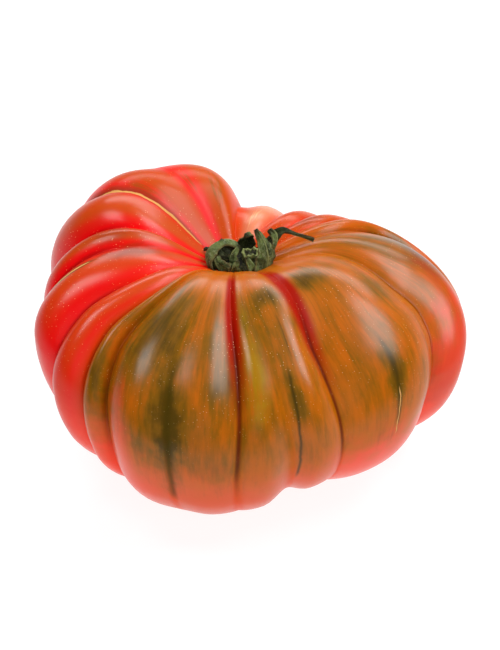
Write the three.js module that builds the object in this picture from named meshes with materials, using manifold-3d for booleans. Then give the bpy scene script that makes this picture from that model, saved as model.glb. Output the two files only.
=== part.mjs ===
// A large ribbed beefsteak tomato with its dried calyx and the broken stub of its stem.
// Millimetres, +Z up. The fruit lies on z = 0, and the middle of its plan is on the Z axis.
// +X is the viewer's right and +Y points away, so azimuth 270 is the front and 90 the back.
import * as THREE from "three";
import { mergeVertices } from "three/addons/utils/BufferGeometryUtils.js";
import Module from "manifold-3d";

const wasm = await Module();
wasm.setup();

// Smooth body that the ribs are cut into, at stations round the fruit.
// Each row: azimuth in degrees, reach of the belly, height of the shoulder, height of the belly,
// distance of the shoulder's crest from the calyx, and how full the underside is (lower is fuller).
const STATIONS = [
  [0, 55, 53.5, 30, 24, 0.62],
  [30, 50, 53.2, 31, 24, 0.62],
  [52, 42, 52.2, 31, 20, 0.62],
  [70, 39, 52, 31, 17, 0.62],
  [85, 40, 53, 32, 20, 0.62],
  [96, 45, 60, 34, 25, 0.62],
  [108, 48, 64, 35, 29, 0.62],
  [130, 51.5, 67.3, 37, 31, 0.62],
  [155, 54.8, 65.8, 37, 31, 0.65],
  [178, 52, 60.5, 37, 25, 0.68],
  [195, 55.5, 56, 38, 22, 0.68],
  [213, 57, 54.5, 32, 19, 0.62],
  [226, 56, 53.5, 30, 17, 0.54],
  [243, 57.8, 53, 28, 15, 0.45],
  [267, 54, 52, 24, 13, 0.47],
  [287, 50, 53, 25, 14, 0.7],
  [308, 50.5, 53, 26, 16, 0.6],
  [332, 53, 54, 28, 20, 0.66],
];

// Grooves between the ribs, in order round the fruit. Each row: azimuth beside the calyx, on the
// shoulder and at the foot, depth on the shoulder and at the foot, and sharpness (1 is a crease,
// 0 a soft valley).
const GROOVES = [
  [91, 90, 89, 9, 9, 0.8],
  [121, 128, 132, 1.4, 2, 0.2],
  [149, 154, 151, 2.6, 3, 0.9],
  [176, 174, 172, 4.4, 4.4, 0.9],
  [190, 186, 186, 3, 3, 0.8],
  [213, 206.5, 207, 4.8, 4.8, 0.9],
  [227, 219.5, 221, 4.6, 4.6, 0.9],
  [231, 226.5, 230, 4, 4, 0.9],
  [250, 248, 250, 1, 0.6, 0],
  [266, 268, 266, 3.4, 1.2, 0.8],
  [276, 280, 282, 0.2, 2.6, 0],
  [306, 298, 297, 5.2, 2, 0.8],
  [360, 349, 334, 6.6, 6.6, 0.8],
  [380, 388, 353, 4.2, 3.2, 0.8],
  [392, 398, 384, 3, 3.4, 0.8],
  [404, 411, 403, 3.4, 3.4, 0.8],
  [423, 426, 422, 5.4, 5, 0.8],
];

// Polar angles of a groove's three places.
const BESIDE_CALYX = 11;
const ON_SHOULDER = 46;
const AT_FOOT = 100;

const GROOVE_ROUNDING = 0.05; // radius of a crease's floor, as a share of half a rib
const GROOVE_STEEPNESS = 0.985; // 1 would make its sides upright

const SEAT_HEIGHT = 44.5; // floor of the hollow that the calyx sits in
const SEAT_PLACE = [-4, 5]; // where the calyx stands in plan, off the middle of the body
const SHOULDER_POWER = 0.76; // below 1 the shoulders are squarer than an ellipse
const HOLLOW_STEEPNESS = 1.35;
const FOOT_SINK = 1; // how far the round underside is pressed flat where it rests
const BLOSSOM_DIMPLE = 2.2; // height of the dent at the blossom end
const BLOSSOM_RADIUS = 9;

const COLUMNS_PER_NARROW_RIB = 6;
const COLUMNS_PER_WIDE_RIB = 10;
const WIDE_RIB = 25; // degrees
const ROWS = 38;
const CLEARANCE = 0.3; // gap kept between pieces that touch

const radians = THREE.MathUtils.degToRad;
const smooth = (t) => THREE.MathUtils.smoothstep(t, 0, 1);
const turn = (degrees) => THREE.MathUtils.euclideanModulo(degrees, 360);

// Smooth periodic curve through the stations, for one of their columns.
function stationValue(azimuth, column) {
  const count = STATIONS.length;
  const x = turn(azimuth);
  let i = count - 1;
  while (i > 0 && STATIONS[i][0] > x) i--;
  const row = (k) => STATIONS[(k + count) % count];
  const place = (k) => row(k)[0] + 360 * Math.floor(k / count);
  const slope = (k) => {
    const before = place(k) - place(k - 1);
    const after = place(k + 1) - place(k);
    const rise = (row(k)[column] - row(k - 1)[column]) / before;
    const next = (row(k + 1)[column] - row(k)[column]) / after;
    return (rise * after + next * before) / (before + after);
  };
  const width = place(i + 1) - place(i);
  const t = (x - place(i)) / width;
  return (
    (2 * t ** 3 - 3 * t ** 2 + 1) * row(i)[column] +
    (t ** 3 - 2 * t ** 2 + t) * width * slope(i) +
    (3 * t ** 2 - 2 * t ** 3) * row(i + 1)[column] +
    (t ** 3 - t ** 2) * width * slope(i + 1)
  );
}

// The smooth body's distance from its axis and its height, at an azimuth and a polar angle
// that runs from the calyx (0) over the shoulder and the belly (90) to the blossom end (180).
function bodyProfile(azimuth, polar) {
  const [reach, top, belly, crest, fullness] = [1, 2, 3, 4, 5].map((c) => stationValue(azimuth, c));
  const under = smooth((polar - 90) / 30);
  const power = SHOULDER_POWER + (fullness - SHOULDER_POWER) * under;
  const out = reach * Math.max(0, Math.sin(radians(polar))) ** power;
  const up = Math.cos(radians(polar));
  if (up < 0) {
    const dimple = BLOSSOM_DIMPLE * Math.exp(-((out / BLOSSOM_RADIUS) ** 2));
    return [out, belly + (belly + FOOT_SINK) * up + dimple];
  }
  const hollow = Math.exp(-(((HOLLOW_STEEPNESS * out) / crest) ** 2)) * smooth(3 * up);
  return [out, belly + (top - belly) * up - (top - SEAT_HEIGHT) * hollow];
}

// How far a polar angle is on its way from the shoulder to the foot.
const dropAt = (polar) => smooth((polar - ON_SHOULDER) / (AT_FOOT - ON_SHOULDER));

// A groove's azimuth at a polar angle: it leans between its three stated places.
function grooveAzimuth(groove, polar) {
  const [inner, shoulder, foot] = groove;
  const near = (a) => inner + turn(a - inner + 180) - 180;
  const lean = smooth((polar - BESIDE_CALYX) / (ON_SHOULDER - BESIDE_CALYX));
  const drop = dropAt(polar);
  return inner * (1 - lean) + lean * (near(shoulder) * (1 - drop) + near(foot) * drop);
}

// How much of a groove's depth shows at a polar angle: none at the two ends of the fruit.
const FADE = [[0, 0], [12, 0.18], [40, 0.75], [60, 1], [95, 1], [130, 0.75], [160, 0.3], [180, 0]];
function grooveFade(polar) {
  const i = FADE.findIndex(([angle]) => angle >= polar);
  if (i <= 0) return 0;
  const [[a0, f0], [a1, f1]] = [FADE[i - 1], FADE[i]];
  return f0 + ((f1 - f0) * (polar - a0)) / (a1 - a0);
}

// A point of the skin: rib number, place across it from 0 to 1, and polar angle.
// A positive lift moves it out along the smooth body's normal.
function skinPoint(rib, across, polar, lift = 0) {
  const left = GROOVES[rib];
  const right = GROOVES[(rib + 1) % GROOVES.length];
  const start = grooveAzimuth(left, polar);
  const azimuth = start + across * turn(grooveAzimuth(right, polar) - start);
  const [out, height] = bodyProfile(azimuth, polar);
  const step = 0.5;
  const [out0, height0] = bodyProfile(azimuth, Math.max(0, polar - step));
  const [out1, height1] = bodyProfile(azimuth, Math.min(180, polar + step));
  const length = Math.hypot(out1 - out0, height1 - height0) || 1;
  const normal = [-(height1 - height0) / length, (out1 - out0) / length];

  const t = 2 * across - 1;
  const [, , , shoulderDepth, footDepth, sharpness] = t < 0 ? left : right;
  const drop = dropAt(polar);
  const depth = (shoulderDepth * (1 - drop) + footDepth * drop) * grooveFade(polar);
  const rounded = GROOVE_STEEPNESS * Math.max(0, 1 - Math.hypot(1 - Math.abs(t), GROOVE_ROUNDING));
  const arch = (1 - Math.sqrt(1 - rounded ** 2)) / (1 - Math.sqrt(1 - GROOVE_STEEPNESS ** 2));
  const valley = Math.sin((Math.PI * t) / 2) ** 2;
  const inset = depth * (sharpness * arch + (1 - sharpness) * valley) - lift;

  const inHollow = 1 - smooth(polar / 90);
  const x = SEAT_PLACE[0] * inHollow;
  const y = SEAT_PLACE[1] * inHollow;
  const reach = out - normal[0] * inset;
  return new THREE.Vector3(
    x + reach * Math.cos(radians(azimuth)),
    y + reach * Math.sin(radians(azimuth)),
    Math.max(height - normal[1] * inset, -lift),
  );
}

// The closed skin, with its columns of points bunched towards the grooves.
function skinGeometry(lift = 0) {
  const places = [];
  GROOVES.forEach((groove, rib) => {
    const width = turn(GROOVES[(rib + 1) % GROOVES.length][1] - groove[1]);
    const columns = width > WIDE_RIB ? COLUMNS_PER_WIDE_RIB : COLUMNS_PER_NARROW_RIB;
    for (let j = 0; j < columns; j++) {
      places.push([rib, (1 - Math.cos((Math.PI * j) / columns)) / 2]);
    }
  });
  const points = [new THREE.Vector3(SEAT_PLACE[0], SEAT_PLACE[1], SEAT_HEIGHT + lift)];
  for (let row = 1; row < ROWS; row++) {
    for (const [rib, across] of places) points.push(skinPoint(rib, across, (180 * row) / ROWS, lift));
  }
  points.push(new THREE.Vector3(0, 0, BLOSSOM_DIMPLE - FOOT_SINK - lift));

  const around = places.length;
  const at = (row, column) => 1 + (row - 1) * around + (column % around);
  const last = points.length - 1;
  const faces = [];
  for (let column = 0; column < around; column++) {
    faces.push(0, at(1, column), at(1, column + 1));
    for (let row = 1; row < ROWS - 1; row++) {
      const [a, b] = [at(row, column), at(row + 1, column)];
      const [c, d] = [at(row + 1, column + 1), at(row, column + 1)];
      faces.push(a, b, c, a, c, d);
    }
    faces.push(last, at(ROWS - 1, column + 1), at(ROWS - 1, column));
  }
  return new THREE.BufferGeometry().setFromPoints(points).setIndex(faces);
}

// Sepals, in the calyx's own frame, whose origin is on the seat. Each one: width, how much its
// edges lift, how far its blade is turned off square in plan and tilted about its midrib, both at
// base and tip, and its midrib's points.
const SEPALS = [
  {
    width: 7,
    cup: 0.14,
    twist: [-5, -25],
    tilt: [0, 0],
    path: [
      [3.4, -1.6, 1.2], [6.9, -4.4, 1.9], [8, -4.3, 4.4],
      [7.8, -3.4, 7.3], [6.8, -2.1, 9.8], [5.2, -0.9, 11.8],
    ],
  },
  {
    width: 5.6,
    cup: 0.14,
    twist: [0, -20],
    tilt: [0, 0],
    path: [[3.4, 0.4, 1.2], [7.8, 0.2, 2.4], [9.8, 0.9, 5.6], [10, 1.8, 8.4], [8.6, 2.2, 9.8]],
  },
  {
    width: 3.6,
    cup: 0.12,
    twist: [0, 0],
    tilt: [0, 0],
    path: [
      [2.6, 1.6, 1.2], [6.8, 2.6, 3], [10, 3, 6.8],
      [12.2, 3, 8.5], [15.6, 2.8, 7.7], [19.6, 2.4, 6.3],
    ],
  },
  {
    width: 7.4,
    cup: 0.2,
    twist: [0, 10],
    tilt: [0, -40],
    path: [
      [-1.2, -1, 1.2], [-5.6, -3, 1.6], [-7.2, -2.6, 3.8], [-6.6, -1.4, 6],
      [-4.6, -0.4, 7.3], [-2.2, 0.4, 7.6], [0, 1, 6.5], [0.6, 1.2, 5],
    ],
  },
  {
    width: 5.4,
    cup: 0.16,
    twist: [30, 20],
    tilt: [0, 0],
    path: [[-1.2, -2, 1.2], [-3, -4.4, 1.7], [-4.6, -4.4, 3.8], [-5.6, -3, 6]],
  },
  {
    width: 3,
    cup: 0.12,
    twist: [0, 0],
    tilt: [0, 0],
    path: [[-2, 1, 1.2], [-5, 2.2, 2.2], [-6.6, 2.6, 3.2], [-8, 2.4, 3.5]],
  },
  {
    width: 4.6,
    cup: 0.2,
    twist: [0, 0],
    tilt: [0, 0],
    path: [[0, -2, 1.2], [-0.7, -4.4, 1.6], [-0.6, -5.4, 3.1], [0.3, -4.8, 4.8]],
  },
  {
    width: 5.4,
    cup: 0.16,
    twist: [0, 20],
    tilt: [0, 0],
    path: [[2.8, -2, 1.2], [4.9, -4.8, 1.7], [4.6, -5.5, 3.7], [2.9, -4.2, 5.5]],
  },
  {
    width: 5,
    cup: 0.16,
    twist: [0, 0],
    tilt: [0, 0],
    path: [[1.8, 2, 1.2], [2.4, 4.4, 2.2], [3.2, 5, 5], [3.4, 4, 7.4], [2.4, 2.6, 8]],
  },
  {
    width: 6,
    cup: 0.14,
    twist: [0, 0],
    tilt: [0, 0],
    path: [[-0.4, 1.4, 1.2], [-2.8, 3, 2.2], [-4, 3.6, 4.2], [-3.4, 3, 6.2]],
  },
  {
    width: 4,
    cup: 0.16,
    twist: [0, 0],
    tilt: [0, 0],
    path: [[0, -0.6, 1.2], [-1, -1.8, 3], [-0.6, -1.6, 5], [0.9, -0.6, 6.8]],
  },
];
const SEPAL_THICKNESS = 0.8;
const SEPAL_STATIONS = 10;
const SEPAL_ACROSS = [-1, -0.5, 0, 0.5, 1];
const CALYX_CENTRE = [1.4, -0.6];
const CALYX_DISC_RADIUS = 5.4;
const CALYX_DISC_TOP = 2.2;
const STUB_PLACE = [3.8, 0.2];
const STUB_RADIUS = 2.15;
const STUB_TOP = 4.8;
const STUB_SOCKET_FLOOR = 1.5;
const STUB_HOLLOW = 1.1;

// Half the width of a sepal, from its base (0) over its broad part to its narrow tip (1).
const sepalShape = (s) => 0.62 + 0.38 * Math.sin(Math.PI * Math.min(1, s * 1.4)) - 0.42 * s ** 3;

// One sepal as a closed blade, split into triangles alike on both faces.
function sepalGeometry({ width, cup, twist, tilt, path }) {
  const curve = new THREE.CatmullRomCurve3(path.map((p) => new THREE.Vector3(...p)));
  const [bx, by] = path[1];
  const square = Math.atan2(by - CALYX_CENTRE[1], bx - CALYX_CENTRE[0]) + Math.PI / 2;
  const rings = [];
  for (let i = 0; i <= SEPAL_STATIONS; i++) {
    const s = i / SEPAL_STATIONS;
    const centre = curve.getPointAt(s);
    const along = curve.getTangentAt(s);
    const heading = square + radians(twist[0] + (twist[1] - twist[0]) * s);
    const side = new THREE.Vector3(Math.cos(heading), Math.sin(heading), 0);
    side.addScaledVector(along, -side.dot(along)).normalize();
    side.applyAxisAngle(along, radians(tilt[0] + (tilt[1] - tilt[0]) * s));
    const face = new THREE.Vector3().crossVectors(along, side);
    const half = (width / 2) * sepalShape(s);
    const ring = [1, -1].map((sheet) =>
      SEPAL_ACROSS.map((u) => {
        const thickness = (SEPAL_THICKNESS / 2) * (1 - 0.25 * Math.abs(u));
        return centre
          .clone()
          .addScaledVector(side, u * half)
          .addScaledVector(face, cup * width * u * u + sheet * thickness);
      }),
    );
    rings.push([...ring[0], ...ring[1].reverse()]);
  }
  const n = rings[0].length;
  const faces = [];
  for (let i = 0; i < SEPAL_STATIONS; i++) {
    for (let j = 0; j < n; j++) {
      const [a, b] = [i * n + j, i * n + ((j + 1) % n)];
      const [c, d] = [b + n, a + n];
      if (j < n / 2) faces.push(a, c, b, a, d, c);
      else faces.push(a, d, b, b, d, c);
    }
  }
  const end = SEPAL_STATIONS * n;
  for (let j = 0; j < n / 2 - 1; j++) {
    const [a, b, c, d] = [j, j + 1, n - 2 - j, n - 1 - j];
    faces.push(a, b, c, a, c, d);
    faces.push(end + a, end + c, end + b, end + a, end + d, end + c);
  }
  return new THREE.BufferGeometry().setFromPoints(rings.flat()).setIndex(faces);
}

// The flat receptacle that the sepals grow from, as a low dome.
function discGeometry() {
  const profile = [
    [0, -1.5],
    [CALYX_DISC_RADIUS, -1.5],
    [CALYX_DISC_RADIUS, 1],
    [CALYX_DISC_RADIUS * 0.7, CALYX_DISC_TOP * 0.85],
    [0, CALYX_DISC_TOP],
  ].map((p) => new THREE.Vector2(...p));
  const dome = new THREE.LatheGeometry(profile, 28).rotateX(Math.PI / 2);
  return dome.translate(CALYX_CENTRE[0], CALYX_CENTRE[1], 0);
}

// The broken stem: a short stalk whose torn end is hollow. A gap widens it for its socket.
function stubGeometry(gap = 0) {
  const radius = STUB_RADIUS + gap;
  const floor = STUB_SOCKET_FLOOR - gap;
  const profile = [
    [0, floor],
    [radius * 1.05, floor],
    [radius * 0.88, STUB_TOP * 0.6],
    [radius, STUB_TOP],
    [radius * 0.7, STUB_TOP],
    [0, STUB_TOP - (gap ? 0 : STUB_HOLLOW)],
  ].map((p) => new THREE.Vector2(...p));
  const stalk = new THREE.LatheGeometry(profile, 20).rotateX(Math.PI / 2);
  return stalk.translate(STUB_PLACE[0], STUB_PLACE[1], 0);
}

function toSolid(geometry) {
  const bare = geometry.index ? geometry.toNonIndexed() : geometry.clone();
  bare.deleteAttribute("normal");
  bare.deleteAttribute("uv");
  const merged = mergeVertices(bare, 1e-4);
  return new wasm.Manifold(
    new wasm.Mesh({
      numProp: 3,
      vertProperties: new Float32Array(merged.attributes.position.array),
      triVerts: new Uint32Array(merged.index.array),
    }),
  );
}

function toGeometry(solid) {
  const { vertProperties, triVerts, numProp } = solid.getMesh();
  const points = [];
  for (let i = 0; i < vertProperties.length; i += numProp) {
    points.push(new THREE.Vector3(vertProperties[i], vertProperties[i + 1], vertProperties[i + 2]));
  }
  return new THREE.BufferGeometry().setFromPoints(points).setIndex([...triVerts]);
}

function piece(name, geometry, color, roughness) {
  geometry.computeVertexNormals();
  const mesh = new THREE.Mesh(geometry, new THREE.MeshStandardMaterial({ color, roughness, metalness: 0 }));
  mesh.name = name;
  return mesh;
}

const skin = skinGeometry();
const fruit = piece("fruit", skin, 0xd8421f, 0.25);

// The calyx is fused from its disc and sepals, and cut back to stand just clear of the skin.
let leaves = toSolid(discGeometry());
for (const sepal of SEPALS) leaves = leaves.add(toSolid(sepalGeometry(sepal)));
leaves = leaves.subtract(toSolid(stubGeometry(CLEARANCE)));
leaves = leaves.translate([SEAT_PLACE[0], SEAT_PLACE[1], SEAT_HEIGHT]);
leaves = leaves.subtract(toSolid(skinGeometry(CLEARANCE)));
const largest = leaves.decompose().sort((a, b) => b.volume() - a.volume())[0];
const calyx = piece("calyx", toGeometry(largest), 0x5a6b2f, 0.8);

const stub = piece("stem_stub", stubGeometry(), 0x9a9a55, 0.85);
stub.position.set(SEAT_PLACE[0], SEAT_PLACE[1], SEAT_HEIGHT);

// The group is shifted so that the middle of the fruit's plan stands on the Z axis.
skin.computeBoundingBox();
const middle = skin.boundingBox.getCenter(new THREE.Vector3());
const tomato = new THREE.Group();
tomato.add(fruit, calyx, stub);
tomato.position.set(-middle.x, -middle.y, 0);

export default tomato;
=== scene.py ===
import math

import bmesh
import bpy
import numpy as np
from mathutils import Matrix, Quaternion, Vector


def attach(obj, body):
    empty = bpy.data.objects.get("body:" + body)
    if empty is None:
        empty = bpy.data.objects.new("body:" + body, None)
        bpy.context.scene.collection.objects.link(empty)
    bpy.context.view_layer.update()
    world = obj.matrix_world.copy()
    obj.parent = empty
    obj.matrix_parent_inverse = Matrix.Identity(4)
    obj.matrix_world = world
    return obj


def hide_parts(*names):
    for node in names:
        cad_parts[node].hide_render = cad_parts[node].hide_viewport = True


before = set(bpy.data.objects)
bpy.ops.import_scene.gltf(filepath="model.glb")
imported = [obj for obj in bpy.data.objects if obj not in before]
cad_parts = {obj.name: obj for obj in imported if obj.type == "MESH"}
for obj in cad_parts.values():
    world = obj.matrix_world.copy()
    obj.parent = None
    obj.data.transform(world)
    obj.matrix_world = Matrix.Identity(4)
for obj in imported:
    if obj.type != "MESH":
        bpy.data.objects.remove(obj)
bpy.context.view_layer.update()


# Camera and studio: a white sweep lit by two large soft boxes, one on each side, with a bright
# white wall behind the fruit that the tops of its shoulders reflect. The camera looks down at it
# by 35 degrees, from as far as the photograph's flat perspective asks for.
VIEW_HEIGHT = math.radians(35)
VIEW_DISTANCE = 0.620
VIEW_POINT = Vector((-0.0004, 0.0051, 0.026))
SENSOR_WIDTH = 36
LENS_LENGTH = 134.9
FRAME_HEIGHT = 650
VIEW_POINT_RIGHT_OF_CENTRE = 1
VIEW_POINT_BELOW_CENTRE = 12

bpy.ops.object.select_all(action="DESELECT")
towards_camera = Vector((0, -math.cos(VIEW_HEIGHT), math.sin(VIEW_HEIGHT)))
bpy.ops.object.camera_add(location=VIEW_POINT + VIEW_DISTANCE * towards_camera)
camera = bpy.context.active_object
camera.name = "camera"
camera.rotation_euler = (math.pi / 2 - VIEW_HEIGHT, 0, 0)
camera.data.sensor_width = SENSOR_WIDTH
camera.data.lens = LENS_LENGTH
camera.data.shift_x = -VIEW_POINT_RIGHT_OF_CENTRE / FRAME_HEIGHT
camera.data.shift_y = VIEW_POINT_BELOW_CENTRE / FRAME_HEIGHT
bpy.context.scene.camera = camera


def soft_box(name, azimuth, elevation, distance, width, height, power):
    """An area light that hangs at an azimuth and elevation and faces the fruit."""
    a, e = math.radians(azimuth), math.radians(elevation)
    out = Vector((math.cos(a) * math.cos(e), math.sin(a) * math.cos(e), math.sin(e)))
    bpy.ops.object.light_add(type="AREA", location=VIEW_POINT + out * distance)
    light = bpy.context.active_object
    light.name = name
    light.rotation_euler = out.to_track_quat("Z", "Y").to_euler()
    light.data.shape = "RECTANGLE"
    light.data.size = width
    light.data.size_y = height
    light.data.energy = power
    return light


soft_box("left_box", azimuth=174, elevation=67, distance=0.9, width=0.3, height=0.34, power=2.5)
soft_box("right_box", azimuth=14, elevation=57, distance=0.9, width=0.6, height=0.38, power=6.0)
soft_box("back_wall", azimuth=84, elevation=39, distance=1.1, width=1.1, height=0.34, power=5.6)
# The two fills have no reflection of their own, as if they were bounced off the whole room.
for name, azimuth, elevation, power in (("front_fill", 274, 36, 5.4), ("top_fill", 20, 70, 1.2)):
    fill = soft_box(name, azimuth, elevation, distance=1.2, width=1.0, height=0.8, power=power)
    fill.visible_glossy = False

# The studio round the boxes: white low down, where the sweep rises, and dim overhead.
WHITE_UP_TO = 0.06
DIM_FROM = 0.34
DIM_GREY = 0.07
STUDIO_STRENGTH = 0.85
world = bpy.data.worlds.new("studio")
bpy.context.scene.world = world
world.use_nodes = True
tree = world.node_tree
direction = tree.nodes.new("ShaderNodeTexCoord")
height = tree.nodes.new("ShaderNodeSeparateXYZ")
tree.links.new(direction.outputs["Generated"], height.inputs["Vector"])
sweep = tree.nodes.new("ShaderNodeValToRGB")
tree.links.new(height.outputs["Z"], sweep.inputs["Fac"])
sweep.color_ramp.elements[0].position = WHITE_UP_TO
sweep.color_ramp.elements[0].color = (1, 1, 1, 1)
sweep.color_ramp.elements[1].position = DIM_FROM
sweep.color_ramp.elements[1].color = (DIM_GREY, DIM_GREY, DIM_GREY, 1)
tree.links.new(sweep.outputs["Color"], tree.nodes["Background"].inputs["Color"])
tree.nodes["Background"].inputs["Strength"].default_value = STUDIO_STRENGTH
bpy.context.scene.view_settings.view_transform = "Standard"


# Floor: a sheet of milk-white acrylic, lit a little from below, which is why the fruit in the
# photograph has next to no shadow.
FLOOR_SIZE = 6
FLOOR_GREY = 0.16
FLOOR_GLOW = 0.9


def new_material(name):
    """A material with its node tree and the shader that its surface has."""
    material = bpy.data.materials.new(name)
    material.use_nodes = True
    return material, material.node_tree, material.node_tree.nodes["Principled BSDF"]


bpy.ops.mesh.primitive_plane_add(size=FLOOR_SIZE, location=(0, 0, 0))
floor = bpy.context.active_object
floor.name = "floor"
floor_material, tree, surface = new_material("milk_acrylic")
surface.inputs["Base Color"].default_value = (FLOOR_GREY, FLOOR_GREY, FLOOR_GREY, 1)
surface.inputs["Roughness"].default_value = 0.55
surface.inputs["Emission Color"].default_value = (1, 1, 1, 1)
surface.inputs["Emission Strength"].default_value = FLOOR_GLOW
floor.data.materials.append(floor_material)


# Fruit: a flattened sphere of flesh in a tight, waxy skin, drawn in by grooves that run
# from the calyx over the shoulders to the blossom end. A smooth body is given at stations round
# the fruit, and the ribs are the arches that stand between the grooves. Sizes are in millimetres.
MM = 0.001
# Azimuth in degrees, reach of the belly, height of the shoulder, height of the belly, distance of
# the shoulder's crest from the calyx, and how full the underside is (lower is fuller).
STATIONS = (
    (0, 55, 53.5, 30, 24, 0.62),
    (30, 50, 53.2, 31, 24, 0.62),
    (52, 42, 52.2, 31, 20, 0.62),
    (70, 39, 52, 31, 17, 0.62),
    (85, 40, 53, 32, 20, 0.62),
    (96, 45, 60, 34, 25, 0.62),
    (108, 48, 64, 35, 29, 0.62),
    (130, 51.5, 67.3, 37, 31, 0.62),
    (155, 54.8, 65.8, 37, 31, 0.65),
    (178, 52, 60.5, 37, 25, 0.68),
    (195, 55.5, 56, 38, 22, 0.68),
    (213, 57, 54.5, 32, 19, 0.62),
    (226, 56, 53.5, 30, 17, 0.54),
    (243, 57.8, 53, 28, 15, 0.45),
    (267, 54, 52, 24, 13, 0.47),
    (287, 50, 53, 25, 14, 0.7),
    (308, 50.5, 53, 26, 16, 0.6),
    (332, 53, 54, 28, 20, 0.66),
)
# Azimuth beside the calyx, on the shoulder and at the foot of each groove, its depth on the
# shoulder and at the foot, and its sharpness, from 0 for a soft valley to 1 for a crease.
# The list starts at the deep cleft at the back, where the skin's own map has its seam.
GROOVES = (
    (91, 90, 89, 9.0, 9.0, 0.8),
    (121, 128, 132, 1.4, 2.0, 0.2),
    (149, 154, 151, 2.6, 3.0, 0.9),
    (176, 174, 172, 4.4, 4.4, 0.9),
    (190, 186, 186, 3.0, 3.0, 0.8),
    (213, 206.5, 207, 4.8, 4.8, 0.9),
    (227, 219.5, 221, 4.6, 4.6, 0.9),
    (231, 226.5, 230, 4.0, 4.0, 0.9),
    (250, 248, 250, 1.0, 0.6, 0.0),
    (266, 268, 266, 3.4, 1.2, 0.8),
    (276, 280, 282, 0.2, 2.6, 0.0),
    (306, 298, 297, 5.2, 2.0, 0.8),
    (360, 349, 334, 6.6, 6.6, 0.8),
    (380, 388, 353, 4.2, 3.2, 0.8),
    (392, 398, 384, 3.0, 3.4, 0.8),
    (404, 411, 403, 3.4, 3.4, 0.8),
    (423, 426, 422, 5.4, 5.0, 0.8),
    (451, 450, 449, 9.0, 9.0, 0.8),
)
# Polar angles of a groove's three places, and how deep all grooves are at polar angles, as a share.
BESIDE_CALYX = 11
ON_SHOULDER = 46
AT_FOOT = 100
GROOVE_SHARE = ((0, 0), (12, 0.18), (40, 0.75), (60, 1), (95, 1), (130, 0.75), (160, 0.3), (180, 0))
# The radius of a crease's floor, as a share of half a rib, and its steepness: 1 is upright.
GROOVE_ROUNDING = 0.05
GROOVE_STEEPNESS = 0.985
# The floor of the hollow that the calyx sits in, and its place in plan, off the middle of the body.
SEAT_HEIGHT = 44.5
SEAT_PLACE = np.array([-4.0, 5.0])
# Below 1 the shoulders are squarer than an ellipse.
SHOULDER_POWER = 0.76
HOLLOW_STEEPNESS = 1.35
# How far the round underside is pressed flat where it rests, and the dent at the blossom end.
FOOT_SINK = 1.0
BLOSSOM_DIMPLE = 2.2
BLOSSOM_RADIUS = 9.0
# How finely the skin is divided round the fruit, across the narrowest rib and down the fruit.
COLUMNS_PER_DEGREE = 0.93
LEAST_COLUMNS = 14
RINGS = 210
# The azimuth at which the skin's own map begins.
MAP_SEAM = 90


def smooth(t):
    """A smooth rise from 0 to 1."""
    t = np.clip(t, 0, 1)
    return t * t * (3 - 2 * t)


def station_value(azimuth, column):
    """A smooth closed curve through one column of the stations."""
    table = np.array(STATIONS, float)
    full_turn = [360, 0, 0, 0, 0, 0]
    table = np.vstack([table[-2:] - full_turn, table, table[:2] + full_turn])
    place, value = table[:, 0], table[:, column]
    gap = np.diff(place)
    rise = np.diff(value) / gap
    slope = np.zeros(len(value))
    slope[1:-1] = (rise[:-1] * gap[1:] + rise[1:] * gap[:-1]) / (gap[:-1] + gap[1:])
    x = np.mod(azimuth, 360)
    i = np.searchsorted(place[1:-2], x, side="right")
    width = gap[i]
    t = (x - place[i]) / width
    rising = (2 * t**3 - 3 * t**2 + 1) * value[i] + (t**3 - 2 * t**2 + t) * width * slope[i]
    return rising + (3 * t**2 - 2 * t**3) * value[i + 1] + (t**3 - t**2) * width * slope[i + 1]


def body_profile(azimuth, polar):
    """The smooth body's distance from its axis and its height."""
    reach, top, belly, crest, fullness = (station_value(azimuth, c) for c in range(1, 6))
    power = SHOULDER_POWER + (fullness - SHOULDER_POWER) * smooth((polar - 90) / 30)
    out = reach * np.clip(np.sin(np.radians(polar)), 0, 1) ** power
    up = np.cos(np.radians(polar))
    hollow = np.exp(-((HOLLOW_STEEPNESS * out / crest) ** 2)) * smooth(3 * up)
    dimple = BLOSSOM_DIMPLE * np.exp(-((out / BLOSSOM_RADIUS) ** 2))
    above = belly + (top - belly) * up - (top - SEAT_HEIGHT) * hollow
    below = belly + (belly + FOOT_SINK) * up + dimple
    return out, np.where(up < 0, below, above)


def groove_azimuth(groove, polar):
    """Where a groove runs at a polar angle."""
    lean = smooth((polar - BESIDE_CALYX) / (ON_SHOULDER - BESIDE_CALYX))
    drop = smooth((polar - ON_SHOULDER) / (AT_FOOT - ON_SHOULDER))
    return groove[0] * (1 - lean) + lean * (groove[1] * (1 - drop) + groove[2] * drop)


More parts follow.
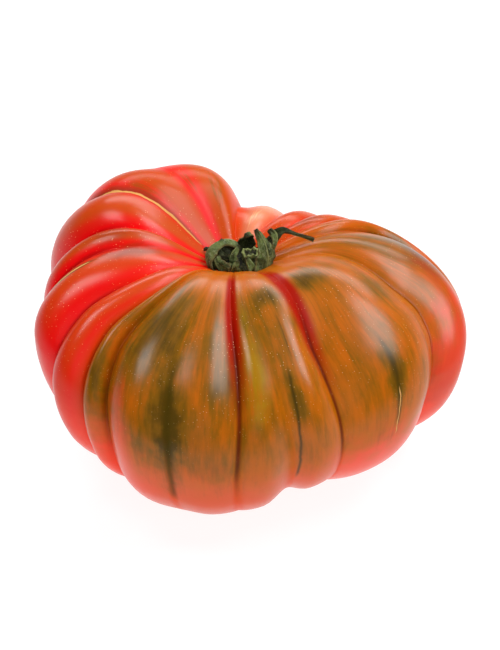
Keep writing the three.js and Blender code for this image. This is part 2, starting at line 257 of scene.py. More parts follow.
def skin_points(rib, across, polar):
    """Points of the skin in the body's own frame, with each one's distance from a groove in
    millimetres and its place across the rib, from -1 at one groove to 1 at the next."""
    grooves = np.array(GROOVES).T
    left, right = grooves[:, rib], grooves[:, rib + 1]
    start = groove_azimuth(left, polar)
    azimuth = start + across * (groove_azimuth(right, polar) - start)
    out, height = body_profile(azimuth, polar)
    out_above, height_above = body_profile(azimuth, np.maximum(polar - 0.5, 0))
    out_below, height_below = body_profile(azimuth, np.minimum(polar + 0.5, 180))
    outward, upward = out_below - out_above, height_below - height_above
    length = np.hypot(outward, upward)
    normal_out, normal_up = -upward / length, outward / length
    t = 2 * across - 1
    near = np.where(t < 0, left, right)
    drop = smooth((polar - ON_SHOULDER) / (AT_FOOT - ON_SHOULDER))
    depth = near[3] * (1 - drop) + near[4] * drop
    sharpness = near[5]
    rounded = np.clip(1 - np.hypot(1 - np.abs(t), GROOVE_ROUNDING), 0, 1) * GROOVE_STEEPNESS
    arch = (1 - np.sqrt(1 - rounded**2)) / (1 - math.sqrt(1 - GROOVE_STEEPNESS**2))
    valley = np.sin(np.pi * t / 2) ** 2
    share = np.interp(polar, *np.array(GROOVE_SHARE, float).T)
    inset = depth * share * (sharpness * arch + (1 - sharpness) * valley)
    in_hollow = 1 - smooth(polar / 90)
    reach = out - normal_out * inset
    x = SEAT_PLACE[0] * in_hollow + reach * np.cos(np.radians(azimuth))
    y = SEAT_PLACE[1] * in_hollow + reach * np.sin(np.radians(azimuth))
    z = np.maximum(height - normal_up * inset, 0)
    from_groove = (1 - np.abs(t)) / 2 * np.radians(right[1] - left[1]) * out
    return np.stack([x, y, z], axis=-1), from_groove, t


# The columns of the sphere are shared out among the ribs and bunched towards the grooves.
column_rib, column_across, column_round = [], [], []
for rib, (left, right) in enumerate(zip(GROOVES, GROOVES[1:])):
    columns = max(LEAST_COLUMNS, round((right[1] - left[1]) * COLUMNS_PER_DEGREE))
    for j in range(columns):
        across = (1 - math.cos(math.pi * j / columns)) / 2
        column_rib.append(rib)
        column_across.append(across)
        column_round.append(left[1] + across * (right[1] - left[1]))
segments = len(column_rib)
column_round = np.array(column_round + [column_round[0] + 360])

bpy.ops.object.select_all(action="DESELECT")
bpy.ops.mesh.primitive_uv_sphere_add(segments=segments, ring_count=RINGS, radius=1)
fruit = bpy.context.active_object
fruit.name = "fruit_skin"
mesh = fruit.data
unit = np.empty(len(mesh.vertices) * 3)
mesh.vertices.foreach_get("co", unit)
unit = unit.reshape(-1, 3)
polar = np.degrees(np.arccos(np.clip(unit[:, 2], -1, 1)))
column = np.round(np.degrees(np.arctan2(unit[:, 1], unit[:, 0])) / 360 * segments).astype(int) % segments
at_pole = (polar < 0.1) | (polar > 179.9)
points, from_groove, side = skin_points(np.array(column_rib)[column], np.array(column_across)[column], polar)
points[at_pole & (polar < 90)] = [SEAT_PLACE[0], SEAT_PLACE[1], SEAT_HEIGHT]
points[at_pole & (polar > 90)] = [0, 0, BLOSSOM_DIMPLE - FOOT_SINK]
middle = (points.min(axis=0) + points.max(axis=0)) / 2
SHIFT = np.array([-middle[0], -middle[1], 0])
mesh.vertices.foreach_set("co", ((points + SHIFT) * MM).ravel())
mesh.update()

# The skin's own map: u runs once round the fruit, following the ribs, and v from the calyx down.
corner_vertex = np.empty(len(mesh.loops), int)
mesh.loops.foreach_get("vertex_index", corner_vertex)
face_start = np.empty(len(mesh.polygons), int)
mesh.polygons.foreach_get("loop_start", face_start)
face_of_corner = np.repeat(np.arange(len(face_start)), np.diff(np.append(face_start, len(corner_vertex))))
corner_column = column[corner_vertex].astype(float)
corner_pole = at_pole[corner_vertex]
seen = np.where(corner_pole, -1, corner_column)
highest = np.maximum.reduceat(seen, face_start)[face_of_corner]
corner_column += np.where((highest > segments / 2) & (corner_column < segments / 4), segments, 0)
shared = np.add.reduceat(np.where(corner_pole, 0, corner_column), face_start)[face_of_corner] / 2
corner_column = np.where(corner_pole, shared, corner_column)
corner_round = np.interp(corner_column, np.arange(segments + 1), column_round)
skin_map = np.stack([(corner_round - MAP_SEAM) / 360, polar[corner_vertex] / 180], axis=-1)
mesh.uv_layers.active.data.foreach_set("uv", skin_map.ravel())
for name, values in (("from_groove", from_groove), ("crest", 1 - np.abs(side)), ("flank", side)):
    mesh.attributes.new(name, "FLOAT", "POINT").data.foreach_set("value", values)
bpy.ops.object.shade_smooth()


# Skin: clear wax over the flesh. The ribs at the left and back are red with copper crests, and
# those at the front and right are amber, mottled with olive in fine streaks that run along them.
# All turn coral towards the floor, partly their own colour and partly a painted reflection of the
# white floor. Corky scars lie on a few ribs, and pale specks all over.


class Socket:
    """A shader socket whose arithmetic adds Math nodes; make() adds any other node."""

    def __init__(self, tree, socket):
        self.tree = tree
        self.socket = socket

    def math(self, operation, *others):
        """One Math node on this value and others."""
        return make(self.tree, "ShaderNodeMath", {"operation": operation}, self, *others)

    def __add__(self, other):
        return self.math("ADD", other)

    def __sub__(self, other):
        return self.math("SUBTRACT", other)

    def __rsub__(self, other):
        return make(self.tree, "ShaderNodeMath", {"operation": "SUBTRACT"}, other, self)

    def __mul__(self, other):
        return self.math("MULTIPLY", other)

    __radd__ = __add__
    __rmul__ = __mul__

    def step(self, low, high):
        """A smooth change from 0 at low to 1 at high, whichever of them is greater."""
        settings = {"interpolation_type": "SMOOTHSTEP", "clamp": True}
        if low < high:
            return make(self.tree, "ShaderNodeMapRange", settings, self, low, high, 0.0, 1.0)
        return make(self.tree, "ShaderNodeMapRange", settings, self, high, low, 1.0, 0.0)

    def near(self, centre, half_width):
        """1 at a centre, fading to 0 at a half-width on both sides."""
        return (self - centre).math("ABSOLUTE").step(half_width, 0)


def make(tree, kind, settings, *values, out=0, named=None):
    """Adds a node, sets its settings and then its sockets, and returns one output."""
    node = tree.nodes.new(kind)
    for key, value in settings.items():
        if key == "stops":
            ramp = node.color_ramp
            for position, tone in value:
                if position not in (value[0][0], value[-1][0]):
                    ramp.elements.new(position)
            for element, (position, tone) in zip(ramp.elements, value):
                element.position = position
                element.color = tone
        else:
            setattr(node, key, value)
    wanted = list(enumerate(values)) + list((named or {}).items())
    for key, value in wanted:
        socket = node.inputs[key]
        if isinstance(value, Socket):
            tree.links.new(value.socket, socket)
        else:
            socket.default_value = value
    return Socket(tree, node.outputs[out])


def colour(red, green, blue):
    """A display colour from 0 to 255, as the linear value that a shader takes."""
    linear = [((c / 255 + 0.055) / 1.055) ** 2.4 if c > 10 else c / 3295 for c in (red, green, blue)]
    return (*linear, 1.0)


def blend(tree, first, second, factor):
    """Mixes two colours, which go in at sockets 6 and 7 of a Mix node and come out at socket 2."""
    settings = {"data_type": "RGBA", "clamp_factor": True}
    return make(tree, "ShaderNodeMix", settings, factor, out=2, named={6: first, 7: second})


def noise(tree, place, scale, detail=3.0, roughness=0.5):
    """Noise around 0.5 at a place."""
    named = {"Vector": place, "Scale": scale, "Detail": detail, "Roughness": roughness}
    return make(tree, "ShaderNodeTexNoise", {}, named=named)


VIVID_RED = colour(226, 3, 6)
RIPE_RED = colour(212, 34, 8)
COPPER = colour(190, 70, 8)
AMBER = colour(182, 94, 4)
OLIVE = colour(116, 78, 2)
DARK_GREEN = colour(62, 48, 1)
LIME = colour(158, 118, 3)
BROWN = colour(112, 50, 22)
CORAL_AND_FLOOR_SHEEN = colour(240, 66, 34)
ROSE_AND_RIM_SHEEN = colour(214, 62, 44)
CRIMSON_CREASE_SHADE = colour(156, 18, 0)
MAROON_CREASE_SHADE = colour(84, 8, 2)
CORK = colour(206, 152, 84)
PALE = colour(244, 204, 140)
BACKDROP_SHEEN = colour(232, 150, 112)

skin, tree, surface = new_material("tomato_skin")
skin_place = make(tree, "ShaderNodeUVMap", {"uv_map": mesh.uv_layers.active.name})
share_round = make(tree, "ShaderNodeSeparateXYZ", {}, skin_place, out="X")
share_down = make(tree, "ShaderNodeSeparateXYZ", {}, skin_place, out="Y")
# The azimuth along the ribs and the polar angle, in degrees.
turn = share_round * 360 + MAP_SEAM
angle = share_down * 180
around = share_round * (2 * math.pi)
cosine, sine = around.math("COSINE"), around.math("SINE")
place = make(tree, "ShaderNodeTexCoord", {}, out="Object")
# Millimetres from a groove, and the place on a rib: crest is 0 in the grooves and 1 on its top, and
# flank runs from -1 at the groove before it to 1 at the groove after it.
from_groove = make(tree, "ShaderNodeAttribute", {"attribute_name": "from_groove"}, out="Fac")
crest = make(tree, "ShaderNodeAttribute", {"attribute_name": "crest"}, out="Fac")
flank = make(tree, "ShaderNodeAttribute", {"attribute_name": "flank"}, out="Fac")


def along_ribs(fine, long):
    """A place whose noise is drawn out along the ribs: how fine round the fruit, how long down it."""
    return make(tree, "ShaderNodeCombineXYZ", {}, cosine * fine, sine * fine, angle * (1 / long))


def round_the_fruit(*stops):
    """A value that changes round the fruit, from stops of an azimuth and a value."""
    settings = {"stops": [((a - MAP_SEAM) / 360, (g, g, g, 1)) for a, g in stops]}
    return make(tree, "ShaderNodeValToRGB", settings, share_round)


# Streaks that run along the ribs, from hair-fine to broad, and mottling and patches that don't.
hair_streaks = noise(tree, along_ribs(46, 12), 1.0, detail=3, roughness=0.6)
fine_streaks = noise(tree, along_ribs(20, 20), 1.0, detail=5, roughness=0.6)
broad_streaks = noise(tree, along_ribs(6, 26), 1.0, detail=4, roughness=0.55)
mottle = noise(tree, place, 130, detail=5, roughness=0.65)
patches = noise(tree, place, 32, detail=3)
warp = noise(tree, along_ribs(8, 9), 1.0, detail=4) - 0.5
streaks = (hair_streaks * 0.3 + fine_streaks * 0.25 + broad_streaks * 0.25 + mottle * 0.2 - 0.5) * 5


def patch(turn_at, angle_at, half_turn, half_angle):
    """A soft, ragged patch that is full in its middle."""
    across = (turn - turn_at) * (1 / half_turn)
    down = (angle - angle_at) * (1 / half_angle)
    return ((across * across + down * down).math("SQRT") + warp * 1.5).step(1.3, 0.1)


# Which ribs are amber and which have a copper crest, by the azimuth.
amber_amount = round_the_fruit(
    (90, 0.4), (120, 0), (205, 0), (217, 0.1), (221, 0.8), (236, 0.95), (300, 1), (350, 0.95),
    (388, 0.85), (402, 0.4), (424, 0.3), (450, 0.4),
)
copper_amount = round_the_fruit(
    (90, 0.7), (118, 1), (146, 1), (157, 0.9), (186, 1), (192, 0.9), (200, 0.4), (215, 0.6), (450, 0.5),
)
# The grooves of the red ribs are the purest red, and so are the flanks of those at the left.
vivid_flank = round_the_fruit((90, 0.3), (154, 0.3), (174, 0.5), (190, 1), (219, 1), (222, 0.3), (450, 0.3))
vivid = crest.step(0.35, 0.05) * 0.7 + flank.step(0.1, 0.75) * vivid_flank
base = blend(tree, RIPE_RED, VIVID_RED, vivid)
on_crests = crest.step(0, 0.6) * flank.step(0.7, 0.2) + (patches - 0.5) * 1.2
base = blend(tree, base, COPPER, on_crests * angle.step(84, 46) * copper_amount * 0.9)
base = blend(tree, base, AMBER, amber_amount + (patches - 0.5) * 0.4 - angle.step(90, 128) * 0.4)

# How green the ripening has left the skin: a level for each rib, with darker patches on some. A
# patch has the azimuth and polar angle of its middle, half its size in both, and its strength.
greenness = round_the_fruit(
    (90, 0), (118, 0.1), (150, 0.1), (196, 0), (218, 0), (222, 0.6), (236, 0.72), (268, 0.6),
    (300, 0.45), (330, 0.4), (349, 0.5), (372, 0.6), (388, 0.4), (404, 0.1), (450, 0.1),
)
greenness *= angle.step(8, 22) * angle.step(124, 74)
for turn_at, angle_at, half_turn, half_angle, strength in (
    (238, 34, 12, 18, 0.55),
    (262, 44, 7, 20, 0.4),
    (247.5, 62, 6, 26, 0.55),
    (248.6, 84, 4, 28, 0.55),
    (276, 26, 9, 9, 0.35),
    (284, 38, 12, 12, 0.35),
    (287, 21, 8, 5, 0.7),
    (284.5, 60, 3, 12, 0.6),
    (312, 19, 12, 6, 0.9),
    (334, 35, 8, 7, 0.5),
    (324, 46, 6, 8, 0.25),
    (308, 56, 6, 16, 0.3),
    (320, 66, 4.5, 15, 0.85),
    (320.3, 94, 3, 8, 0.35),
    (224, 66, 2.4, 16, 0.5),
    (378, 54, 14, 14, 1.2),
    (366, 34, 9, 12, 0.35),
    (149, 24, 5, 16, 0.5),
    (124, 24, 6, 8, 0.4),
    (106, 24, 6, 12, 0.35),
    (209.5, 46, 2.4, 12, 0.3),
):
    greenness += patch(turn_at, angle_at, half_turn, half_angle) * strength
olive = (greenness + streaks * 0.7).step(0.1, 1.1) * greenness.step(0.02, 0.2)
base = blend(tree, base, OLIVE, olive * 0.95)
base = blend(tree, base, LIME, patch(273.4, 46, 4.5, 22) * (0.85 + streaks).step(0.2, 1.0) * 0.85)
dark_green = (greenness + streaks * 0.6).step(0.85, 1.6) * greenness.step(0.4, 0.8)
base = blend(tree, base, DARK_GREEN, dark_green * 0.8)

# Brown beside the calyx, partly a painted grey sheen on the split rib's crest. Coral towards the
# floor and rose at the right, both partly painted reflection of the white floor, and a pale rib
# behind, its paleness a painted reflection of the white backdrop.
# The brown on the split rib's crest is partly its own tone and partly a painted grey sheen.
base = blend(tree, base, BROWN, patch(190, 23, 5, 14) * 0.7)
base = blend(tree, base, BROWN, patch(179.5, 32, 5, 16) * 0.4)
base = blend(tree, base, BROWN, patch(404, 24, 5, 8) * 0.5)
# The coral low down is partly the skin's colour and partly a painted reflection of the white floor.
coral_and_sheen_amount = round_the_fruit(
    (90, 0.6), (206, 0.6), (222, 1), (234, 1), (246, 0.35), (292, 0.45), (302, 0.9), (350, 1),
    (450, 0.8),
)
base = blend(tree, base, CORAL_AND_FLOOR_SHEEN, (angle + warp * 30).step(82, 118) * coral_and_sheen_amount)
base = blend(tree, base, RIPE_RED, patch(366, 62, 10, 22) * 0.25)
# The rose low on the right is partly its own colour and partly a painted reflection of the white floor.
base = blend(tree, base, ROSE_AND_RIM_SHEEN, patch(362, 88, 22, 30) * 0.85)
base = blend(tree, base, CORAL_AND_FLOOR_SHEEN, patch(233, 90, 5, 30) * 0.6)
# Painted reflection: the rib at the back is made pale, with pale streaks, as if it mirrored the white
# backdrop.
base = blend(tree, base, BACKDROP_SHEEN, turn.near(434, 14) * angle.step(90, 30) * 0.7)
base = blend(tree, base, PALE, turn.near(436, 9) * angle.step(60, 30) * streaks.step(0, 0.5) * 0.6)


def line(turn_at, half_width, top, bottom, lean):
    """A thin ragged line down a rib, between two polar angles, leaning by so much per degree."""
    ends = angle.step(top - 4, top + 4) * angle.step(bottom + 4, bottom - 4)
    leaning = (angle - (top + bottom) / 2) * lean
    return (turn + warp * 1.1 + leaning).near(turn_at, half_width) * ends


for turn_at, half_width, top, bottom, lean, strength in (
    (248.2, 1.8, 44, 114, 0.0, 0.7),
    (283.2, 0.9, 50, 108, 0.05, 0.85),
    (287.5, 0.5, 30, 44, 0.0, 0.6),
    (320.2, 1.6, 50, 88, 0.0, 0.75),
):
    base = blend(tree, base, DARK_GREEN, line(turn_at, half_width, top, bottom, lean) * strength)

# The two grooves at the front are deep red where they start beside the calyx, partly their colour
# and partly painted shade of the narrow creases, and lower down every groove but the soft valleys
# has a line of painted shade in its bottom.
groove_reach = from_groove + (patches - 0.5) * 1.2
front_grooves = round_the_fruit(
    (90, 0), (262, 0), (265, 1), (271, 1), (274, 0), (290, 0), (294, 1), (302, 1), (306, 0),
    (450, 0),
)
# Painted shade: the front grooves are darkened to crimson where their creases start by the calyx.
crimson_shade_amount = groove_reach.step(3.0, 0.9) * angle.step(5, 12) * angle.step(70, 30) * front_grooves
base = blend(tree, base, CRIMSON_CREASE_SHADE, crimson_shade_amount)
soft_valleys = turn.near(128, 2) + turn.near(248, 2) + turn.near(280, 2)
crease_shade_amount = (0.5 + front_grooves * 0.3) * (1 - soft_valleys.step(0, 0.1))
# Painted shade: a dark line along the bottom of each crease.
crease_shade_line = from_groove.step(1.0, 0.1) * angle.step(20, 44) * angle.step(118, 78) * crease_shade_amount
base = blend(tree, base, MAROON_CREASE_SHADE, crease_shade_line)

# Pale specks, as fine as dust, thickest on the shoulders.
SPECK_SCALE = 1200.0
specks = make(tree, "ShaderNodeTexVoronoi", {"feature": "F1"}, named={"Vector": place, "Scale": SPECK_SCALE})
speck_field = noise(tree, place, 90, detail=2).step(0.34, 0.6)
base = blend(tree, base, PALE, specks.step(0.15, 0.05) * speck_field * angle.step(100, 40) * 0.7)

# Cork: a seam along one groove at the back left, a healed split in front of it and a thread at the
# right, each at an azimuth. The split's middle is at a polar angle too.
SEAM_TURN = 154.3
SPLIT_TURN = 190.6
SPLIT_ANGLE = 50
THREAD_TURN = 320.3
cork_wobble = (noise(tree, place, 240, detail=3) - 0.5) * 2.4
seam_place = turn + cork_wobble
seam = seam_place.near(SEAM_TURN, 1.5) * angle.step(4, 8) * angle.step(54, 44)
seam_edge = seam_place.near(SEAM_TURN - 1.1, 3.8) * angle.step(4, 8) * angle.step(60, 44)


def split(half_turn, half_angle):
    """The healed split, pointed at both ends."""
    across = (turn + cork_wobble * 0.5 - SPLIT_TURN) * (1 / half_turn)
    down = (angle - SPLIT_ANGLE) * (1 / half_angle)
    return (across * across + down * down).math("SQRT").step(1, 0.6)


thread = (turn + cork_wobble * 0.7).near(THREAD_TURN, 0.5) * angle.step(68, 76) * angle.step(100, 92)
scar = split(0.8, 14)
cork = seam.math("MAXIMUM", scar).math("MAXIMUM", thread * 0.7)
base = blend(tree, base, BROWN, seam_edge * 0.7)
base = blend(tree, base, DARK_GREEN, split(1.7, 16) * 0.8)
base = blend(tree, base, CORK, (cork + (mottle - 0.5) * 0.8).step(0.3, 0.6))

# The small corky scar where the flower dropped off, in the middle of the underside.
scar_x = make(tree, "ShaderNodeSeparateXYZ", {}, place, out="X") * (1 / MM) - float(SHIFT[0])
scar_y = make(tree, "ShaderNodeSeparateXYZ", {}, place, out="Y") * (1 / MM) - float(SHIFT[1])
from_scar = (scar_x * scar_x + scar_y * scar_y).math("SQRT") + (mottle - 0.5) * 3
base = blend(tree, base, CORK, from_scar.step(2.8, 1.4) * angle.step(110, 140) * 0.9)

# The wax is rough on the cork, thin in the grooves and dull on the lobe at the back left.
tree.links.new(base.socket, surface.inputs["Base Color"])
fine_grain = noise(tree, place, 900, detail=2)
roughness = 0.34 + (fine_grain - 0.5) * 0.1 + cork * 0.4
tree.links.new(roughness.socket, surface.inputs["Roughness"])
duller = round_the_fruit((90, 0.2), (106, 0.6), (146, 0.6), (154, 0.1), (210, 0), (450, 0.2))
in_the_open = 0.3 + from_groove.step(0.2, 1.8) * 0.7
coat = (0.56 - cork * 0.5) * in_the_open * (1 - duller) * (1 - crimson_shade_amount * 0.8)
tree.links.new(coat.socket, surface.inputs["Coat Weight"])
surface.inputs["Coat Roughness"].default_value = 0.24
surface.inputs["Specular IOR Level"].default_value = 0.05
surface.inputs["Subsurface Weight"].default_value = 0.2
surface.inputs["Subsurface Radius"].default_value = (1.0, 0.2, 0.08)
surface.inputs["Subsurface Scale"].default_value = 0.003
relief = patches * 0.6 + fine_streaks * 0.14 + fine_grain * 0.05 + cork * 0.5
bump = make(tree, "ShaderNodeBump", {}, named={"Strength": 0.35, "Distance": 0.0006, "Height": relief})
tree.links.new(bump.socket, surface.inputs["Normal"])
mesh.materials.append(skin)
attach(fruit, "root")
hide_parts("fruit")


# Calyx: eleven dried sepals that have curled up and inwards, thin as paper, with a raised midrib
# and ragged edges, on a ridged receptacle that sits in the hollow of the fruit.
SEAT = Vector((SEAT_PLACE[0] + SHIFT[0], SEAT_PLACE[1] + SHIFT[1], SEAT_HEIGHT))
CALYX_CENTRE = Vector((1.4, -0.6, 0))
SEPAL_THICKNESS = 0.4
SEPAL_SEED = 40
# Width, how much the edges lift, how far the blade is turned off square in plan and tilted about
# its midrib, both at base and tip in degrees, and the midrib's points in the calyx's own frame.
SEPALS = (
    (7, 0.14, (-5, -25), (0, 0), (
        (3.4, -1.6, 1.2), (6.9, -4.4, 1.9), (8, -4.3, 4.4), (7.8, -3.4, 7.3), (6.8, -2.1, 9.8),
        (5.2, -0.9, 11.8),
    )),
    (5.6, 0.14, (0, -20), (0, 0), (
        (3.4, 0.4, 1.2), (7.8, 0.2, 2.4), (9.8, 0.9, 5.6), (10, 1.8, 8.4), (8.6, 2.2, 9.8),
    )),
    (3.6, 0.12, (0, 0), (0, 0), (
        (2.6, 1.6, 1.2), (6.8, 2.6, 3), (10, 3, 6.8), (12.2, 3, 8.5), (15.6, 2.8, 7.7),
        (19.6, 2.4, 6.3),
    )),
    (7.4, 0.2, (0, 10), (0, -40), (
        (-1.2, -1, 1.2), (-5.6, -3, 1.6), (-7.2, -2.6, 3.8), (-6.6, -1.4, 6), (-4.6, -0.4, 7.3),
        (-2.2, 0.4, 7.6), (0, 1, 6.5), (0.6, 1.2, 5),
    )),
    (5.4, 0.16, (30, 20), (0, 0), ((-1.2, -2, 1.2), (-3, -4.4, 1.7), (-4.6, -4.4, 3.8), (-5.6, -3, 6))),
    (3, 0.12, (0, 0), (0, 0), ((-2, 1, 1.2), (-5, 2.2, 2.2), (-6.6, 2.6, 3.2), (-8, 2.4, 3.5))),
    (4.6, 0.2, (0, 0), (0, 0), ((0, -2, 1.2), (-0.7, -4.4, 1.6), (-0.6, -5.4, 3.1), (0.3, -4.8, 4.8))),
    (5.4, 0.16, (0, 20), (0, 0), ((2.8, -2, 1.2), (4.9, -4.8, 1.7), (4.6, -5.5, 3.7), (2.9, -4.2, 5.5))),
    (5, 0.16, (0, 0), (0, 0), (
        (1.8, 2, 1.2), (2.4, 4.4, 2.2), (3.2, 5, 5), (3.4, 4, 7.4), (2.4, 2.6, 8),
    )),
    (6, 0.14, (0, 0), (0, 0), ((-0.4, 1.4, 1.2), (-2.8, 3, 2.2), (-4, 3.6, 4.2), (-3.4, 3, 6.2))),
    (4, 0.16, (0, 0), (0, 0), ((0, -0.6, 1.2), (-1, -1.8, 3), (-0.6, -1.6, 5), (0.9, -0.6, 6.8))),
)


def midrib(path, s):
    """A point of a smooth curve through a sepal's points, for s from 0 to 1 along it."""
    before, after = 2 * np.array(path[0]) - path[1], 2 * np.array(path[-1]) - path[-2]
    points = np.array([before, *path, after], float)
    steps = np.linalg.norm(np.diff(points[1:-1], axis=0), axis=1)
    knots = np.concatenate([[0], np.cumsum(steps)]) / steps.sum()
    i = min(int(np.searchsorted(knots, s, side="right")) - 1, len(steps) - 1)
    t = (s - knots[i]) / (knots[i + 1] - knots[i])
    a, b, c, d = points[i : i + 4]
    bend = (2 * a - 5 * b + 4 * c - d) * t**2 + (3 * b - a - 3 * c + d) * t**3
    return Vector(0.5 * (2 * b + (c - a) * t + bend))


def sepal_half_width(s):
    """How the blade widens from its base and narrows to a point."""
    spread = 0.62 + 0.38 * math.sin(math.pi * min(1, 1.4 * s)) - 0.42 * s**3
    return spread * math.sqrt(max(0.04, 1 - s**8))


def add_sepal(index, width, cup, twist, tilt, path):
    """One sepal: a grid laid along its midrib, wrinkled, and then given its thickness."""
    bpy.ops.object.select_all(action="DESELECT")
    bpy.ops.mesh.primitive_grid_add(x_subdivisions=16, y_subdivisions=64, size=2)
    blade = bpy.context.active_object
    outward = Vector((path[1][0], path[1][1], 0)) - CALYX_CENTRE
    square = math.atan2(outward.y, outward.x) + math.pi / 2
    wave = np.random.default_rng(SEPAL_SEED + index).uniform(0, 2 * math.pi, 4)
    for vertex in blade.data.vertices:
        across, s = vertex.co.x, (vertex.co.y + 1) / 2
        centre = midrib(path, s)
        ahead, behind = midrib(path, min(1, s + 0.01)), midrib(path, max(0, s - 0.01))
        along = (ahead - behind).normalized()
        heading = square + math.radians(twist[0] + (twist[1] - twist[0]) * s)
        side = Vector((math.cos(heading), math.sin(heading), 0))
        side = (side - along * side.dot(along)).normalized()
        side = Quaternion(along, math.radians(tilt[0] + (tilt[1] - tilt[0]) * s)) @ side
        face = along.cross(side)
        ragged = 1 + 0.07 * math.sin(31 * s + wave[0]) + 0.05 * math.sin(57 * s + wave[1] + 2 * across)
        half = width / 2 * sepal_half_width(s) * ragged
        ripple = 0.16 * math.sin(9 * across + 4 * s + wave[2])
        ripple += 0.2 * abs(across) * math.sin(17 * s + wave[3])
        crease = -0.25 * math.exp(-((across / 0.16) ** 2))
        lift = cup * width * across**2 + (ripple + crease) * min(1, 4 * s)
        vertex.co = (SEAT + centre + side * (across * half) + face * lift) * MM
    solidify = blade.modifiers.new("thickness", "SOLIDIFY")
    solidify.thickness = SEPAL_THICKNESS * MM
    solidify.offset = 0
    outer_count = len(blade.data.vertices)
    bpy.ops.object.modifier_apply(modifier=solidify.name)
    is_inner = (np.arange(len(blade.data.vertices)) >= outer_count).astype(float)
    blade.data.attributes.new("inner_side", "FLOAT", "POINT").data.foreach_set("value", is_inner)
    bpy.ops.object.shade_smooth()
    return blade


sepals = [add_sepal(index, *sepal) for index, sepal in enumerate(SEPALS)]
bpy.ops.object.select_all(action="DESELECT")
for sepal in sepals:
    sepal.select_set(True)
bpy.context.view_layer.objects.active = sepals[0]
bpy.ops.object.join()
calyx = bpy.context.active_object
calyx.name = "sepals"

leaf, tree, surface = new_material("dried_leaf")
place = make(tree, "ShaderNodeTexCoord", {}, out="Object")
blotches = noise(tree, place, 420, detail=5, roughness=0.6)
dust = noise(tree, place, 1500, detail=4, roughness=0.7)
leaf_place = make(tree, "ShaderNodeUVMap", {"uv_map": calyx.data.uv_layers.active.name})
across_leaf = make(tree, "ShaderNodeSeparateXYZ", {}, leaf_place, out="X")
along_leaf = make(tree, "ShaderNodeSeparateXYZ", {}, leaf_place, out="Y")
vein_place = make(tree, "ShaderNodeCombineXYZ", {}, across_leaf * 9, along_leaf * 2.5, 0.0)
veins = noise(tree, vein_place, 1.6, detail=4, roughness=0.6)
# Dark and light green, dusty, with pale veins and midrib, a burnt tip, brown edges, and the inner
# side darkened as painted shade.
on_midrib = across_leaf.near(0.5, 0.05)
on_edges = (across_leaf - 0.5).math("ABSOLUTE").step(0.4, 0.5)
green = blend(tree, colour(46, 56, 26), colour(98, 112, 60), blotches.step(0.35, 0.65))
green = blend(tree, green, colour(140, 148, 112), dust.step(0.48, 0.7) * 0.6)
green = blend(tree, green, colour(154, 160, 100), veins.step(0.55, 0.7) * 0.5 + on_midrib * 0.5)
green = blend(tree, green, colour(34, 26, 16), along_leaf.step(0.84, 1.0) * 0.7)
green = blend(tree, green, colour(92, 64, 34), on_edges * 0.5)
inner_side = make(tree, "ShaderNodeAttribute", {"attribute_name": "inner_side"}, out="Fac")
# Painted shade: the inner side of every sepal is darkened as if in shadow.
green = blend(tree, green, colour(24, 20, 10), inner_side * 0.75)
tree.links.new(green.socket, surface.inputs["Base Color"])
surface.inputs["Roughness"].default_value = 0.85
surface.inputs["Specular IOR Level"].default_value = 0.25
leaf_relief = veins * 0.7 + dust * 0.4
bump = make(tree, "ShaderNodeBump", {}, named={"Strength": 0.8, "Distance": 0.0004, "Height": leaf_relief})
tree.links.new(bump.socket, surface.inputs["Normal"])
calyx.data.materials.append(leaf)
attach(calyx, "root")
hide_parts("calyx")

# Receptacle: the low ridged disc of stalk that the sepals grow from, in the hollow of the fruit. It
# has wrinkled and darkened where it has dried, and counts as part of the calyx.
DISC_RADIUS = 5.2
DISC_TOP = 2.3
DISC_MIDDLE = 0.5
DISC_BELOW_MIDDLE = 0.9
bpy.ops.object.select_all(action="DESELECT")
bpy.ops.mesh.primitive_uv_sphere_add(segments=96, ring_count=32, radius=1)
disc = bpy.context.active_object
disc.name = "receptacle"
for vertex in disc.data.vertices:
    turned = math.atan2(vertex.co.y, vertex.co.x)
    out = math.hypot(vertex.co.x, vertex.co.y)
    ridge = 1 + 0.05 * math.sin(9 * turned) * out + 0.03 * math.sin(23 * turned + 1) * out
    radius = DISC_RADIUS * ridge
    top = DISC_TOP * (1 + 0.06 * math.sin(9 * turned) * out)
    height = DISC_MIDDLE + vertex.co.z * (top - DISC_MIDDLE if vertex.co.z > 0 else DISC_BELOW_MIDDLE)
    vertex.co = (SEAT + CALYX_CENTRE + Vector((vertex.co.x * radius, vertex.co.y * radius, height))) * MM
bpy.ops.object.shade_smooth()
crown, tree, surface = new_material("dried_receptacle")
place = make(tree, "ShaderNodeTexCoord", {}, out="Object")
wrinkles = noise(tree, place, 900, detail=5, roughness=0.65)
tone = blend(tree, colour(26, 24, 14), colour(74, 78, 40), wrinkles.step(0.4, 0.7))
tree.links.new(tone.socket, surface.inputs["Base Color"])
surface.inputs["Roughness"].default_value = 0.9
bump = make(tree, "ShaderNodeBump", {}, named={"Strength": 0.9, "Distance": 0.0004, "Height": wrinkles})
tree.links.new(bump.socket, surface.inputs["Normal"])
disc.data.materials.append(crown)
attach(disc, "root")
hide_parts("calyx")


# Stem stub: the stalk that the fruit hung by, snapped off above the receptacle. Its bark is dark
# and dry, and the break shows the pale ring of wood round a collapsed pith.
STUB_PLACE = Vector((3.8, 0.2, 0))
STUB_RADIUS = 2.15
STUB_TOP = 4.8
STUB_FLOOR = 1.5
STUB_SEED = 7
bpy.ops.object.select_all(action="DESELECT")
bpy.ops.mesh.primitive_cylinder_add(vertices=72, radius=1, depth=2, end_fill_type="NGON")
stub = bpy.context.active_object
stub.name = "stem_stub_torn"
bpy.ops.object.mode_set(mode="EDIT")
form = bmesh.from_edit_mesh(stub.data)
for face in form.faces:
    face.select = face.normal.z > 0.9
bmesh.update_edit_mesh(stub.data)
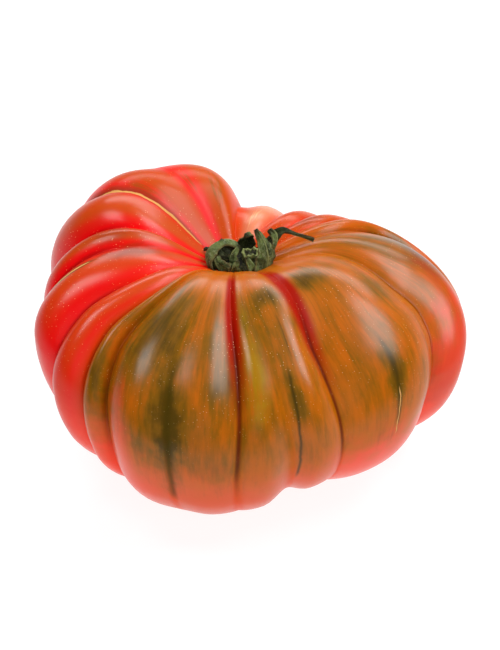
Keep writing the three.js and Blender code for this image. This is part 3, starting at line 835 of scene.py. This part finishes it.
# The break: a flat rim, a step down inside it and the hollow where the pith has sunk.
bpy.ops.mesh.inset(thickness=0.28, depth=0)
bpy.ops.mesh.inset(thickness=0.12, depth=-0.35)
bpy.ops.mesh.inset(thickness=0.3, depth=-0.15)
bpy.ops.mesh.select_all(action="SELECT")
bpy.ops.mesh.subdivide(number_cuts=2)
bpy.ops.object.mode_set(mode="OBJECT")
torn = np.random.default_rng(STUB_SEED).uniform(0, 2 * math.pi, 3)
for vertex in stub.data.vertices:
    turned = math.atan2(vertex.co.y, vertex.co.x)
    high = (vertex.co.z + 1) / 2
    flare = 1.05 - 0.34 * high + 0.3 * high**2
    ribs = 1 + 0.05 * math.sin(7 * turned + torn[0])
    tear = 0
    if high > 0.6:
        tear = 0.35 * math.sin(3 * turned + torn[1]) + 0.25 * math.sin(8 * turned + torn[2])
    x, y = (c * STUB_RADIUS * flare * ribs for c in (vertex.co.x, vertex.co.y))
    z = STUB_FLOOR + high * (STUB_TOP - STUB_FLOOR - 0.5) + tear
    vertex.co = (SEAT + STUB_PLACE + Vector((x, y, z))) * MM
bpy.ops.object.shade_smooth_by_angle(angle=math.radians(50))
wood, tree, surface = new_material("torn_stem")
place = make(tree, "ShaderNodeTexCoord", {}, out="Object")
height = make(tree, "ShaderNodeSeparateXYZ", {}, place, out="Z") * (1 / MM)
fibres = noise(tree, place, 1400, detail=4, roughness=0.6)
tone = blend(tree, colour(54, 58, 30), colour(112, 114, 62), fibres.step(0.35, 0.7))
broken = (height + fibres * 1.2).step(SEAT_HEIGHT + STUB_TOP - 0.9, SEAT_HEIGHT + STUB_TOP - 0.2)
across = make(tree, "ShaderNodeSeparateXYZ", {}, place, out="X") * (1 / MM) - (SEAT.x + STUB_PLACE.x)
along = make(tree, "ShaderNodeSeparateXYZ", {}, place, out="Y") * (1 / MM) - (SEAT.y + STUB_PLACE.y)
from_middle = (across * across + along * along).math("SQRT") + (fibres - 0.5) * 1.2
ring = from_middle.step(STUB_RADIUS * 0.6, STUB_RADIUS * 0.85)
tone = blend(tree, tone, blend(tree, colour(40, 38, 18), colour(138, 146, 84), ring), broken)
tree.links.new(tone.socket, surface.inputs["Base Color"])
surface.inputs["Roughness"].default_value = 0.8
bump = make(tree, "ShaderNodeBump", {}, named={"Strength": 0.8, "Distance": 0.0003, "Height": fibres})
tree.links.new(bump.socket, surface.inputs["Normal"])
stub.data.materials.append(wood)
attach(stub, "root")
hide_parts("stem_stub")
